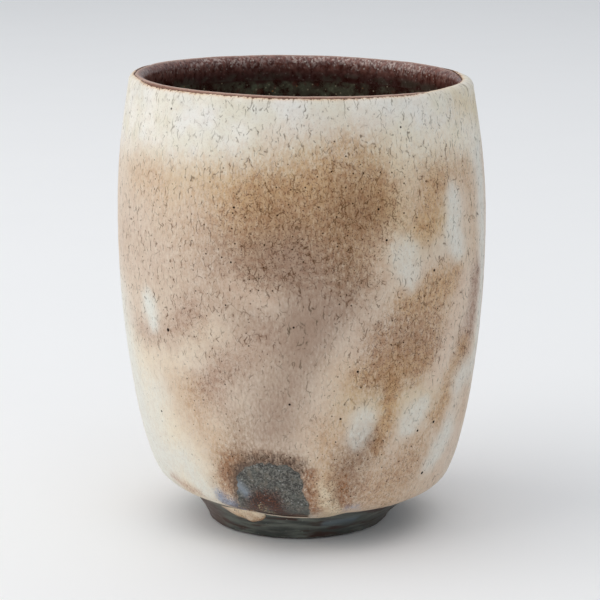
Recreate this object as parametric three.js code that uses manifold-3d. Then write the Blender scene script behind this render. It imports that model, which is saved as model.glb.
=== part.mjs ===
// A hand-thrown yunomi teacup: a stoneware body on a turned foot ring, dressed in a white slip coat,
// with a dark glaze inside, a bare iron-brown lip and one finger mark left in the slip.
// Millimetres, +Z up. The cup stands on z = 0 and its front is on the -Y side.

import * as THREE from 'three';
import { mergeVertices } from 'three/addons/utils/BufferGeometryUtils.js';
import Module from 'manifold-3d';

const wasm = await Module();
wasm.setup();

// Clay wall, measured before any coat
const LIP_CREST_HEIGHT = 91.6;
const LIP_RADIUS = 34.3;
const LIP_THICKNESS = 2.5;
const LIP_CROWN = 1.3;
const LIP_LEAN_IN = 1.3;
const BELLY_RADIUS = 37.0;
const BELLY_HEIGHT = 60;
const HIP_PULL_RADIUS = 33.2;
const HIP_PULL_RISE = 4.2;
const TRIM_EDGE_RADIUS = 28.6;
const TRIM_EDGE_RISE = 4.3;
const WALL_THICKNESS = 3.8;
const FLOOR_THICKNESS = 6;
const FLOOR_FLAT_RADIUS = 14;
const FLOOR_DISH = 0.7;

// Fullness of the wall's curves, as shares of the stretch below or above the belly
const FULLNESS_BELOW_BELLY = 0.385;
const FULLNESS_ABOVE_BELLY = 0.54;
const FULLNESS_UNDER_LIP = 0.28;

// Foot ring
const FOOT_HEIGHT = 5.2;
const FOOT_RADIUS = 18.4;
const FOOT_FLARE = 1.1;
const FOOT_OFFSET = -1.0;
const FOOT_RING_WIDTH = 3.7;
const FOOT_RECESS_DRAFT = 0.7;
const FOOT_RECESS_DOME = 0.9;

// Coats
const SLIP_THICKNESS = 0.5;
const SLIP_SETBACK = 0.5;
const LIP_COAT_THICKNESS = 0.4;
const LIP_COAT_INNER_DROP = 3.6;
const INNER_GLAZE_THICKNESS = 0.4;
const FOOT_GLAZE_THICKNESS = 0.3;
const FOOT_BARE_EDGE = 0.9;

// Finger mark: an arch left bare of slip, with its own thin pool of glaze
const MARK_OFFSET = -6.2;
const MARK_WIDTH = 14;
const MARK_TOP = 20.6;
const MARK_CORNER_RADIUS = 5;
const MARK_GLAZE_THICKNESS = 0.3;
const FIT_GAP = 0.3;

// Roll of slip that gathered at the coat's lower edge, left of the front
const RUN_START = -64;
const RUN_END = -4;
const RUN_THICKNESS = 1.5;

// Hand-thrown lean: the lip sits off the foot's axis and is higher on the left
const LIP_DRIFT = -0.43;
const LIP_TILT = 1.0;

// Facets
const TURN_STEPS = 48;
const LOWER_WALL_STEPS = 9;
const UPPER_WALL_STEPS = 6;
const CROWN_STEPS = 6;
const MARK_CORNER_STEPS = 6;
const RUN_STEPS = 24;
const RUN_SIDES = 10;

const point = (radius, height) => new THREE.Vector2(radius, height);

// The foot ring sits a little off the cup's axis, so its flat seat is that much wider than the ring.
const footTopRadius = FOOT_RADIUS + FOOT_FLARE;
const recessRadius = FOOT_RADIUS - FOOT_RING_WIDTH;
const recessTopRadius = recessRadius - FOOT_RECESS_DRAFT;
const seatSpare = Math.abs(FOOT_OFFSET);
const seatInside = point(recessTopRadius - seatSpare, FOOT_HEIGHT);
const seatOutside = point(footTopRadius + seatSpare, FOOT_HEIGHT);
const floorHeight = FOOT_HEIGHT + FLOOR_THICKNESS;
const trimEdge = point(TRIM_EDGE_RADIUS, FOOT_HEIGHT + TRIM_EDGE_RISE);
const hipPull = point(HIP_PULL_RADIUS, trimEdge.y + HIP_PULL_RISE);
const belly = point(BELLY_RADIUS, BELLY_HEIGHT);
const bellyInside = point(BELLY_RADIUS - WALL_THICKNESS, BELLY_HEIGHT);
const shoulderHeight = LIP_CREST_HEIGHT - LIP_CROWN;
const lipOutside = point(LIP_RADIUS, shoulderHeight);
const lipInside = point(LIP_RADIUS - LIP_THICKNESS, shoulderHeight);
const lipCoatEnd = point(lipInside.x, shoulderHeight - LIP_COAT_INNER_DROP);

// The underside rises as a cone from the seat to the trimmed edge. The slip stops short of the foot.
const underside = trimEdge.clone().sub(seatOutside).normalize();
const slipEdge = seatOutside.clone().addScaledVector(underside, FOOT_GLAZE_THICKNESS + SLIP_SETBACK);

// Outside of the clay, from the trimmed edge to the lip
const belowBelly = (BELLY_HEIGHT - trimEdge.y) * FULLNESS_BELOW_BELLY;
const aboveBelly = (shoulderHeight - BELLY_HEIGHT) * FULLNESS_ABOVE_BELLY;
const underLip = (shoulderHeight - BELLY_HEIGHT) * FULLNESS_UNDER_LIP;
const lowerOutside = new THREE.CubicBezierCurve(
  trimEdge,
  hipPull,
  point(belly.x, belly.y - belowBelly),
  belly,
).getPoints(LOWER_WALL_STEPS);
const upperOutside = new THREE.CubicBezierCurve(
  belly,
  point(belly.x, belly.y + aboveBelly),
  point(lipOutside.x + LIP_LEAN_IN, shoulderHeight - underLip),
  lipOutside,
).getPoints(UPPER_WALL_STEPS);

// Rounded crest of the lip
const crown = new THREE.EllipseCurve(
  (lipOutside.x + lipInside.x) / 2,
  shoulderHeight,
  LIP_THICKNESS / 2,
  LIP_CROWN,
  0,
  Math.PI,
).getPoints(CROWN_STEPS);

// Inside of the clay, from under the lip to the middle of the floor
const upperInside = new THREE.CubicBezierCurve(
  lipCoatEnd,
  point(lipCoatEnd.x, lipCoatEnd.y - underLip),
  point(bellyInside.x, bellyInside.y + aboveBelly),
  bellyInside,
).getPoints(UPPER_WALL_STEPS);
const floorEdge = point(FLOOR_FLAT_RADIUS, floorHeight);
const lowerInside = new THREE.CubicBezierCurve(
  bellyInside,
  point(bellyInside.x, bellyInside.y - belowBelly),
  point(hipPull.x - WALL_THICKNESS, floorHeight),
  floorEdge,
).getPoints(LOWER_WALL_STEPS);
const floorMiddle = point(0, floorHeight - FLOOR_DISH);

// One line runs over all the clay that carries a coat: up the outside, over the lip, down to the floor.
const slipLine = [slipEdge, ...lowerOutside, ...upperOutside.slice(1)];
const lipLine = [...crown, lipCoatEnd];
const innerLine = [...upperInside, ...lowerInside.slice(1), floorMiddle];
const clayLine = [...slipLine, ...lipLine.slice(1), ...innerLine.slice(1)];
const slipRange = [0, slipLine.length - 1];
const lipRange = [slipRange[1], slipRange[1] + lipLine.length - 1];
const innerRange = [lipRange[1], clayLine.length - 1];

// Outward normals of the clay line: the mitre of the two stretches that meet at each point
function lineNormals(line) {
  return line.map((here, i) => {
    const before = line[Math.max(i - 1, 0)];
    const after = line[Math.min(i + 1, line.length - 1)];
    const into = here.clone().sub(before).normalize();
    const onward = after.clone().sub(here).normalize();
    const along = into.add(onward).normalize();
    return here.x === 0 ? point(0, 1) : point(along.y, -along.x);
  });
}
const clayNormals = lineNormals(clayLine);

// The lean is one shear for the whole cup, centred on the belly, so pieces that touch stay in touch.
const tilt = -Math.tan(THREE.MathUtils.degToRad(LIP_TILT));
const drift = LIP_DRIFT / LIP_CREST_HEIGHT;
const lean = new THREE.Matrix4().set(
  1, 0, drift, -drift * BELLY_HEIGHT,
  0, 1, 0, 0,
  tilt, 0, 1, 0,
  0, 0, 0, 1,
);

// Turns an outline about an upright axis. It runs up the outside and down the inside.
function turned(outline, offset = 0) {
  const geometry = new THREE.LatheGeometry(outline, TURN_STEPS);
  geometry.rotateX(Math.PI / 2);
  geometry.translate(offset, 0, 0);
  return geometry.applyMatrix4(lean);
}

// A coat of even thickness on a stretch of the clay line
function coat([from, to], thickness) {
  const back = clayLine.slice(from, to + 1);
  const skin = back.map((p, i) => p.clone().addScaledVector(clayNormals[from + i], thickness));
  const outline = [...back.reverse(), ...skin];
  const startsOnAxis = outline[0].x === 0;
  return turned(startsOnAxis ? outline : [...outline, outline[0]]);
}

function solid(geometry) {
  const bare = geometry.clone();
  bare.deleteAttribute('normal');
  bare.deleteAttribute('uv');
  const merged = mergeVertices(bare);
  return new wasm.Manifold(new wasm.Mesh({
    numProp: 3,
    vertProperties: new Float32Array(merged.getAttribute('position').array),
    triVerts: new Uint32Array(merged.index.array),
  }));
}

function geometryOf(manifold) {
  const { vertProperties, triVerts } = manifold.getMesh();
  const geometry = new THREE.BufferGeometry();
  geometry.setAttribute('position', new THREE.BufferAttribute(vertProperties, 3));
  geometry.setIndex(new THREE.BufferAttribute(triVerts, 1));
  geometry.computeVertexNormals();
  return geometry;
}

// Clay body: wall, lip and floor, with a flat seat for the foot ring round a shallow dome
function clayBody() {
  const domeTop = point(0, FOOT_HEIGHT + FOOT_RECESS_DOME);
  return turned([domeTop, seatInside, seatOutside, ...clayLine]);
}

// Foot ring: drawn in towards the table outside, opening towards it inside. It is turned a little too
// long, so that after the lean it can be levelled at z = 0.
const levelling = 2 * Math.abs(tilt) * seatOutside.x;
const footWall = (height) => point(FOOT_RADIUS + (FOOT_FLARE * height) / FOOT_HEIGHT, height);
const recessWall = (height) => point(recessRadius - (FOOT_RECESS_DRAFT * height) / FOOT_HEIGHT, height);

function footRing() {
  const outline = [
    footWall(-levelling),
    footWall(FOOT_BARE_EDGE),
    footWall(FOOT_HEIGHT),
    recessWall(FOOT_HEIGHT),
    recessWall(-levelling),
  ];
  const ring = turned([...outline, outline[0]], FOOT_OFFSET);
  const reach = 4 * seatOutside.x;
  const aboveTable = new THREE.BoxGeometry(reach, reach, reach).translate(0, 0, reach / 2);
  return geometryOf(solid(ring).intersect(solid(aboveTable)));
}

function footGlaze() {
  const back = [footWall(FOOT_BARE_EDGE), footWall(FOOT_HEIGHT)];
  const skin = back.map((p) => point(p.x + FOOT_GLAZE_THICKNESS, p.y));
  const outline = [...skin, ...back.reverse()];
  return turned([...outline, outline[0]], FOOT_OFFSET);
}

// The arch of the finger mark, pressed through the front of the coat
function markArch(shrink) {
  const half = MARK_WIDTH / 2 - shrink;
  const top = MARK_TOP - shrink;
  const corner = Math.min(MARK_CORNER_RADIUS, half) - shrink;
  const arch = new THREE.Shape();
  arch.moveTo(-half, 0);
  arch.lineTo(half, 0);
  arch.absarc(half - corner, top - corner, corner, 0, Math.PI / 2);
  arch.absarc(corner - half, top - corner, corner, Math.PI / 2, Math.PI);
  const geometry = new THREE.ExtrudeGeometry(arch, {
    depth: 2 * BELLY_RADIUS,
    bevelEnabled: false,
    curveSegments: MARK_CORNER_STEPS,
  });
  geometry.rotateX(Math.PI / 2);
  return geometry.translate(MARK_OFFSET, 0, 0);
}

function whiteSlipCoat() {
  return geometryOf(solid(coat(slipRange, SLIP_THICKNESS)).subtract(solid(markArch(0))));
}

function fingerMarkGlaze() {
  return geometryOf(solid(coat(slipRange, MARK_GLAZE_THICKNESS)).intersect(solid(markArch(FIT_GAP))));
}

// The roll is a droplet stretched along the foot: it tapers to nothing at both ends and hangs in the
// corner under the coat's lower edge.
function slipRun() {
  const half = RUN_THICKNESS / 2;
  const radius = seatOutside.x + FOOT_GLAZE_THICKNESS + FIT_GAP + half;
  const skinRise = (radius - seatOutside.x) * (underside.y / underside.x);
  const cover = (SLIP_THICKNESS + FIT_GAP + half) / underside.x;
  const height = FOOT_HEIGHT + skinRise - cover;
  const middle = THREE.MathUtils.degToRad((RUN_START + RUN_END) / 2);
  const sweep = THREE.MathUtils.degToRad((RUN_END - RUN_START) / 2);
  const geometry = new THREE.SphereGeometry(1, RUN_SIDES, RUN_STEPS);
  const at = geometry.getAttribute('position');
  for (let i = 0; i < at.count; i += 1) {
    const angle = middle + sweep * at.getY(i);
    const out = radius + half * at.getX(i);
    at.setXYZ(i, out * Math.sin(angle), -out * Math.cos(angle), height + half * at.getZ(i));
  }
  return geometry.applyMatrix4(lean);
}

const cup = new THREE.Group();
cup.name = 'yunomi';

function addPiece(name, geometry, color, roughness) {
  const material = new THREE.MeshStandardMaterial({ color, roughness, metalness: 0 });
  const mesh = new THREE.Mesh(geometry, material);
  mesh.name = name;
  cup.add(mesh);
}

addPiece('clay_body', clayBody(), 0x57463b, 0.85);
addPiece('foot_ring', footRing(), 0x5f5248, 0.85);
addPiece('white_slip_coat', whiteSlipCoat(), 0xc9bcae, 0.45);
addPiece('inner_glaze', coat(innerRange, INNER_GLAZE_THICKNESS), 0x2c2a24, 0.25);
addPiece('lip_band', coat(lipRange, LIP_COAT_THICKNESS), 0x6e4a36, 0.3);
addPiece('finger_mark_glaze', fingerMarkGlaze(), 0x54595a, 0.5);
addPiece('foot_glaze', footGlaze(), 0x62645c, 0.5);
addPiece('slip_run', slipRun(), 0xd8ccb6, 0.45);

export default cup;
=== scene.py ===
"""A hand-thrown yunomi teacup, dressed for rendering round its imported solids.

The cup is turned from one clay line: up the outside, over the lip and down to the middle of the floor
inside. Each coat is a skin lifted a few tenths of a millimetre off that line. A place on the line is a
station, the length along it from the slip's lower edge. Lengths are in millimetres until a mesh is made, and
angles are in degrees round the cup, 0 at the front and positive to the right.
"""

import math

import bpy
import numpy as np
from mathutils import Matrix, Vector


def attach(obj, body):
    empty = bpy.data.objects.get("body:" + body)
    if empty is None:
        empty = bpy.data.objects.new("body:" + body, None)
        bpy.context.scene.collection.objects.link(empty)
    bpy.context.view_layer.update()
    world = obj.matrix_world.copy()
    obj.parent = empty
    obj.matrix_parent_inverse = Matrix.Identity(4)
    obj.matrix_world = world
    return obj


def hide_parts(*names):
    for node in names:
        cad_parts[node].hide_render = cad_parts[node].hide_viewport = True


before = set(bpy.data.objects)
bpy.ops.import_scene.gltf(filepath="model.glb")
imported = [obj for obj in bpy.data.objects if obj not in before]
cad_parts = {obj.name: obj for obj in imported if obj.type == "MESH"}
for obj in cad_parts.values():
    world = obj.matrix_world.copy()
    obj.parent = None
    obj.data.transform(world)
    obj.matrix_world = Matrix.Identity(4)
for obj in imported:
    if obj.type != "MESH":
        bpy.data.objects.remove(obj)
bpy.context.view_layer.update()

MM = 0.001

# Room, in metres and degrees
ROOM_HALF = 4.0
CUP_MIDDLE = (0.0, 0.0, 0.045)
CAMERA_PLACE = (-0.00035, -0.450, 0.1484)
CAMERA_TILT = 77.11

# Clay wall, as in the solids
LIP_CREST_HEIGHT = 91.6
LIP_RADIUS = 34.3
LIP_THICKNESS = 2.5
LIP_CROWN = 1.3
LIP_LEAN_IN = 1.3
BELLY_RADIUS = 37.0
BELLY_HEIGHT = 60.0
HIP_PULL_RADIUS = 33.2
HIP_PULL_RISE = 4.2
TRIM_EDGE_RADIUS = 28.6
TRIM_EDGE_RISE = 4.3
TRIM_ROUNDING = 1.6
WALL_THICKNESS = 3.8
FLOOR_THICKNESS = 6.0
FLOOR_FLAT_RADIUS = 14.0
FLOOR_DISH = 0.7
FULLNESS_BELOW_BELLY = 0.385
FULLNESS_ABOVE_BELLY = 0.54
FULLNESS_UNDER_LIP = 0.28

# Foot ring, and the flare of its glaze out under the body
FOOT_HEIGHT = 5.2
FOOT_RADIUS = 18.4
FOOT_FLARE = 1.1
FOOT_OFFSET = -1.0
FOOT_RING_WIDTH = 3.7
FOOT_RECESS_DRAFT = 0.7
FOOT_RECESS_DOME = 0.9
FOOT_ROUNDING = 0.9
FLARE_START = 0.8
FLARE_PULL = 1.8
FLARE_PULL_OUT = 1.6
FLARE_END = 3.8

# Coats. The lip's coat and the inner glaze meet at INNER_EDGE, over EDGE_BLEND on each side.
SLIP_THICKNESS = 0.5
SLIP_SETBACK = 0.5
SLIP_TOP_ROUNDING = 0.5
SLIP_LOW_ROUNDING = 0.35
SLIP_LEAST_LIFT = 0.03
LIP_COAT_THICKNESS = 0.4
LIP_COAT_INNER_DROP = 3.6
INNER_GLAZE_THICKNESS = 0.4
INNER_EDGE = 0.3
EDGE_BLEND = 1.5
FOOT_GLAZE_THICKNESS = 0.3
FOOT_BARE_EDGE = 0.9
LEAST_LIFT = 0.02

# Cracks in the slip, and the tan wash that fades out below its white top
CRACK_WIDTH = 0.2
WASH_STRENGTH = 0.85
WASH_FADE = (74.5, 83.0)

# Finger mark
MARK_OFFSET = -6.6
MARK_WIDTH = 13.4
MARK_SPREAD = 1.2
MARK_SPREAD_HEIGHTS = (14, 8.5)
MARK_SILL = (0.4, 0.8)
MARK_SOFTNESS = 0.35
MARK_SOFTNESS_LEFT = 0.85
MARK_TOP = 19.9
MARK_LEFT_CORNER = 5.4
MARK_RIGHT_CORNER = 4.4
MARK_GLAZE_THICKNESS = 0.3

# Slip's lower edge, as read: degrees round the cup, then millimetres out along the clay from the foot.
# The part past 90 degrees is guessed.
SLIP_LOW_EDGE = [
    (-90, 6.2), (-50, 6.6), (-42, 6.2), (-36, 4.9), (-24, 4.1), (-17, 2.2), (-8, 1.5), (8, 1.1), (13, 2.0),
    (16, 4.2), (19, 5.6), (31, 5.2), (50, 4.2), (90, 3.6), (150, 2.4), (200, 4.5), (270, 6.2),
]
SLIP_OVERLAP = 0.8

# Slip's upper edge: its rise above the lip's shoulder, what the left and the far left add, and its climb
# over the lip on the right
SLIP_RISE = 1.5
SLIP_RISE_LEFT = -0.15
SLIP_RISE_FAR_LEFT = 0.65
SLIP_CLIMB = 1.2

# Roll of slip under the lower edge: degrees, height of its middle and half its height
RUN_SHAPE = [(-44, 6.7, 0.3), (-38, 6.3, 0.9), (-33, 6.1, 1.3), (-26, 5.9, 1.7), (-18.5, 6.4, 1.35)]
RUN_THICKNESS = 0.9
RUN_END_ROUNDING = 4.0

# Hand-thrown lean
LIP_DRIFT = -0.43
LIP_TILT = 1.0

# Meshes: points in the curves, the bake map's margin, and the angle from which an edge is sharp
LONG_CURVE_STEPS = 120
CURVE_STEPS = 90
CROWN_STEPS = 60
MAP_MARGIN = 0.01
SHARP_ANGLE = 55


# Shapes

def smooth(low, high, value):
    """0 below low, 1 above high and a soft step between them."""
    t = np.clip((value - low) / (high - low), 0, 1)
    return t * t * (3 - 2 * t)


def lattice(cell, seed):
    """A repeatable number from 0 to 1 for each whole-number point."""
    mixed = cell[..., 0] * 374761393 + cell[..., 1] * 668265263 + cell[..., 2] * 362437 + seed * 1013904223
    mixed &= 0xFFFFFFFF
    mixed = ((mixed ^ (mixed >> 13)) * 1274126177) & 0xFFFFFFFF
    return ((mixed ^ (mixed >> 16)) & 0xFFFF) / 0xFFFF


def cloud(points, size, seed, octaves=2):
    """Soft noise from about -1 to 1, whose largest lumps are about size millimetres across."""
    total = 0.0
    for octave in range(octaves):
        place = points * (2 ** octave / size)
        cell = np.floor(place).astype(np.int64)
        share = place - cell
        share = share * share * (3 - 2 * share)
        value = 0.0
        for corner in np.ndindex(2, 2, 2):
            weight = np.prod(np.where(corner, share, 1 - share), axis=-1)
            value = value + weight * lattice(cell + np.array(corner), seed + octave)
        total = total + (2 * value - 1) * 0.5 ** octave
    return total


def rough(points, *layers):
    """Layers of soft noise, each given by its height, size and seed."""
    return sum(height * cloud(points, size, seed) for height, size, seed in layers)


def dips(points, *layers):
    """The same layers, moved down by their heights, so that they mostly take away."""
    return rough(points, *layers) - sum(height for height, _, _ in layers)


def bezier(start, pull_start, pull_end, end, steps):
    start, pull_start, pull_end, end = (np.array(p, float) for p in (start, pull_start, pull_end, end))
    t = np.linspace(0, 1, steps + 1).reshape((-1,) + (1,) * start.ndim)
    first_half = (1 - t) ** 3 * start + 3 * (1 - t) ** 2 * t * pull_start
    return first_half + 3 * (1 - t) * t ** 2 * pull_end + t ** 3 * end


def straight(start, end, steps=40):
    t = np.linspace(0, 1, steps + 1)[:, None]
    return (1 - t) * np.array(start, float) + t * np.array(end, float)


def rounded_join(before, corner, after, reach):
    """Joins two lines that meet at a corner, with a soft turn that begins at reach from it."""
    far = [line[np.hypot(*(line - corner).T) > reach] for line in (before, after)]
    start, end = far[0][-1], far[1][0]
    turn = bezier(start, (start + 2 * np.array(corner)) / 3, (end + 2 * np.array(corner)) / 3, end, 16)
    return np.concatenate([far[0], turn[1:-1], far[1]])


class ClayLine:
    """The clay's outline that carries the coats, as (radius, height) at each station."""

    def __init__(self):
        spare = abs(FOOT_OFFSET)
        recess_top = FOOT_RADIUS - FOOT_RING_WIDTH - FOOT_RECESS_DRAFT
        self.seat_inside = np.array([recess_top - spare, FOOT_HEIGHT])
        self.seat_outside = np.array([FOOT_RADIUS + FOOT_FLARE + spare, FOOT_HEIGHT])
        self.trim = np.array([TRIM_EDGE_RADIUS, FOOT_HEIGHT + TRIM_EDGE_RISE])
        self.floor = FOOT_HEIGHT + FLOOR_THICKNESS
        self.wall_top = LIP_CREST_HEIGHT - LIP_CROWN
        self.inner_edge = (LIP_RADIUS - LIP_THICKNESS, self.wall_top - LIP_COAT_INNER_DROP)
        self.below = (BELLY_HEIGHT - self.trim[1]) * FULLNESS_BELOW_BELLY
        self.above = (self.wall_top - BELLY_HEIGHT) * FULLNESS_ABOVE_BELLY
        self.under_lip = (self.wall_top - BELLY_HEIGHT) * FULLNESS_UNDER_LIP

        outside, lip = self.outside(), self.over_lip()
        self.points = np.concatenate([outside, lip, self.inside()])
        steps = np.hypot(*np.diff(self.points, axis=0).T)
        self.length = np.concatenate([[0], np.cumsum(steps)])
        lip_start = len(outside) - 1
        self.shoulder = self.length[lip_start]
        self.crest = (self.shoulder + self.length[lip_start + CROWN_STEPS]) / 2
        self.coat_end = self.length[lip_start + len(lip)]
        self.end = self.length[-1]
        along = np.gradient(self.points, self.length, axis=0)
        along /= np.hypot(*along.T)[:, None]
        self.normals = np.stack([along[:, 1], -along[:, 0]], 1)

    def outside(self):
        """From the slip's lower edge round the trimmed edge and over the belly to the lip's shoulder."""
        run = self.trim - self.seat_outside
        slip_edge = self.seat_outside + run / np.hypot(*run) * (FOOT_GLAZE_THICKNESS + SLIP_SETBACK)
        hip = (HIP_PULL_RADIUS, self.trim[1] + HIP_PULL_RISE)
        belly = (BELLY_RADIUS, BELLY_HEIGHT)
        lean_in = (LIP_RADIUS + LIP_LEAN_IN, self.wall_top - self.under_lip)
        lower = bezier(self.trim, hip, (BELLY_RADIUS, BELLY_HEIGHT - self.below), belly, LONG_CURVE_STEPS)
        upper = bezier(belly, (BELLY_RADIUS, BELLY_HEIGHT + self.above), lean_in,
                       (LIP_RADIUS, self.wall_top), CURVE_STEPS)
        start = rounded_join(straight(slip_edge, self.trim), self.trim, lower, TRIM_ROUNDING)
        return np.concatenate([start, upper[1:]])

    def over_lip(self):
        """Over the lip's crown and down inside to the end of the lip's coat."""
        turn = np.linspace(0, math.pi, CROWN_STEPS + 1)
        radius = LIP_RADIUS - LIP_THICKNESS / 2 * (1 - np.cos(turn))
        crown = np.stack([radius, self.wall_top + LIP_CROWN * np.sin(turn)], 1)
        return np.concatenate([crown[1:], straight(crown[-1], self.inner_edge, 20)[1:]])

    def inside(self):
        """Down the inside to the middle of the floor."""
        radius = BELLY_RADIUS - WALL_THICKNESS
        belly = (radius, BELLY_HEIGHT)
        below_edge = (self.inner_edge[0], self.inner_edge[1] - self.under_lip)
        upper = bezier(self.inner_edge, below_edge, (radius, BELLY_HEIGHT + self.above), belly, CURVE_STEPS)
        hip = (HIP_PULL_RADIUS - WALL_THICKNESS, self.floor)
        flat = (FLOOR_FLAT_RADIUS, self.floor)
        lower = bezier(belly, (radius, BELLY_HEIGHT - self.below), hip, flat, LONG_CURVE_STEPS)
        dish = straight(lower[-1], (0, self.floor - FLOOR_DISH))
        return np.concatenate([upper[1:], lower[1:], dish[1:]])

    def at(self, station, lift=0.0):
        """(radius, height) at a station, lifted off the clay."""
        columns = (*self.points.T, *self.normals.T)
        radius, height, out, up = (np.interp(station, self.length, column) for column in columns)
        return radius + lift * out, height + lift * up

    def station_of(self, height):
        """The station on the outside at which the line reaches a height."""
        outside = self.length <= self.shoulder
        return np.interp(height, self.points[outside, 1], self.length[outside])


CLAY = ClayLine()
DEGREE = math.radians(1) * BELLY_RADIUS
FULL_TURN = 360 * DEGREE
DRIFT = LIP_DRIFT / LIP_CREST_HEIGHT
TILT = -math.tan(math.radians(LIP_TILT))


def turned(angle, radius, height, offset=0.0):
    """Points round an upright axis, before the lean."""
    turn = np.radians(angle)
    x, y, z = np.broadcast_arrays(radius * np.sin(turn) + offset, -radius * np.cos(turn), height)
    return np.stack([x, y, z], -1)


def leaned(points, share=1.0):
    """The shear that the whole cup has: the lip drifts to one side and is higher on the left."""
    x, y, z = np.moveaxis(points, -1, 0)
    return np.stack([x + DRIFT * (z - BELLY_HEIGHT), y, z + TILT * x * share], -1)


def levelled(points):
    """The foot's share of the tilt: none on the table and all of it at the seat."""
    return leaned(points, np.clip(points[..., 2] / FOOT_HEIGHT, 0, 1))


def on_clay(angle, station, lift=0.0):
    return leaned(turned(angle, *CLAY.at(station, lift)))


def all_round(count):
    """Even angles round the cup."""
    return np.linspace(0, 360, count, endpoint=False)


def spread(*stretches):
    """Places from (start, step) pairs and an end: each stretch has even steps of about its own size."""
    ends = [stretch[0] for stretch in stretches[1:-1]] + [stretches[-1]]
    parts = []
    for (start, step), end in zip(stretches[:-1], ends):
        count = max(1, round(abs(end - start) / step))
        parts.append(np.linspace(start, end, count, endpoint=False))
    return np.concatenate(parts + [[stretches[-1]]])


def quads(grid):
    """The four corners of each cell of a grid."""
    return np.stack([grid[:-1, :-1], grid[:-1, 1:], grid[1:, 1:], grid[1:, :-1]], 2)


def pole_fans(index, across, along):
    """Faces and map of the fans from the end rows to two poles, which follow the grid's points."""
    faces, places = [], []
    for row, pole in ((0, index.max() + 1), (-1, index.max() + 2)):
        for c in range(len(across) - 1):
            edge = (c, c + 1) if row else (c + 1, c)
            faces.append([int(index[row, e]) for e in edge] + [int(pole)])
            places.extend((across[e], along[row]) for e in edge)
            places.append((across[c:c + 2].mean(), -row))
    return faces, places


def side_caps(index, rows):
    """Faces that close a patch's two sides, between its front rows and its back rows, and their map."""
    faces = []
    for column, direction in ((0, 1), (-1, -1)):
        for r in range(rows // 2 - 1):
            cap = index[[r, r + 1, rows - 2 - r, rows - 1 - r], column]
            faces.append(cap[::direction].tolist())
    corner = MAP_MARGIN / 10
    return faces, [(0, 0), (corner, 0), (corner, corner), (0, corner)] * len(faces)


def grid_mesh(name, grid, poles=None, closed_turn=True):
    """A closed mesh from a grid of points: rows go round an outline, or between two poles on the axis, and
    columns go all round the cup, or across a patch."""
    rows, columns = grid.shape[:2]
    points = grid.reshape(-1, 3)
    index = np.arange(rows * columns).reshape(rows, columns)
    lengths = np.linalg.norm(np.diff(grid, axis=0), axis=-1).mean(1)
    if poles is None:
        index = np.concatenate([index, index[:1]])
        lengths = np.append(lengths, np.linalg.norm(grid[0] - grid[-1], axis=-1).mean())
    if closed_turn:
        index = np.concatenate([index, index[:, :1]], axis=1)
    across = np.linspace(0, 1, index.shape[1])
    along = np.concatenate([[0], np.cumsum(lengths)])
    along = MAP_MARGIN + (1 - 2 * MAP_MARGIN) * along / along[-1]
    faces = quads(index).reshape(-1, 4).tolist()
    places = quads(np.stack(np.meshgrid(across, along), -1)).reshape(-1, 2).tolist()
    ends = [], []
    if poles is not None:
        points = np.concatenate([points, poles])
        ends = pole_fans(index, across, along)
    if not closed_turn:
        ends = side_caps(index, rows)
    return smooth_mesh(name, points, faces + ends[0], places + ends[1])


def smooth_mesh(name, points, faces, places):
    """A mesh in metres with its bake map."""
    mesh = bpy.data.meshes.new(name)
    mesh.from_pydata((points * MM).tolist(), [], faces)
    mesh.uv_layers.new(name="OFBake").data.foreach_set("uv", np.array(places, np.float32).ravel())
    mesh.polygons.foreach_set("use_smooth", np.ones(len(mesh.polygons), bool))
    mesh.set_sharp_from_angle(angle=math.radians(SHARP_ANGLE))
    mesh.update()
    return mesh


def unroll(mesh, angle, height):
    """A flat map of the skin in millimetres, for cracks, cut along one line at the back."""
    corner = np.empty(len(mesh.loops), np.int32)
    mesh.loops.foreach_get("vertex_index", corner)
    turn = np.broadcast_to(angle, height.shape).ravel()[corner].reshape(-1, 4)
    turn = turn + 360 * (turn.max(1, keepdims=True) - turn > 180)
    flat = np.stack([turn.ravel() * DEGREE, height.ravel()[corner]], -1)
    mesh.uv_layers.new(name="Unrolled").data.foreach_set("uv", flat.astype(np.float32).ravel())


def paint(mesh, shape, skip=0, **fields):
    """Stores numbers for a grid of the mesh's points, for its material to read. Other points get 0."""
    for name, values in fields.items():
        data = np.zeros(len(mesh.vertices), np.float32)
        data[skip:skip + math.prod(shape)] = np.broadcast_to(values, shape).ravel()
        mesh.attributes.new(name, "FLOAT", "POINT").data.foreach_set("value", data)


def add_object(name, data):
    made = bpy.data.objects.new(name, data)
    bpy.context.scene.collection.objects.link(made)
    return made


def piece(name, mesh, material, node):
    """Puts a mesh in the scene in the place of a solid."""
    made = add_object(name, mesh)
    mesh.materials.append(material)
    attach(made, "root")
    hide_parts(node)


# Materials

def colour(text):
    """Linear red, green, blue and alpha of a hex colour."""
    parts = [int(text[i:i + 2], 16) / 255 for i in (1, 3, 5)]
    return tuple(p / 12.92 if p <= 0.04045 else ((p + 0.055) / 1.055) ** 2.4 for p in parts) + (1.0,)


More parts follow.
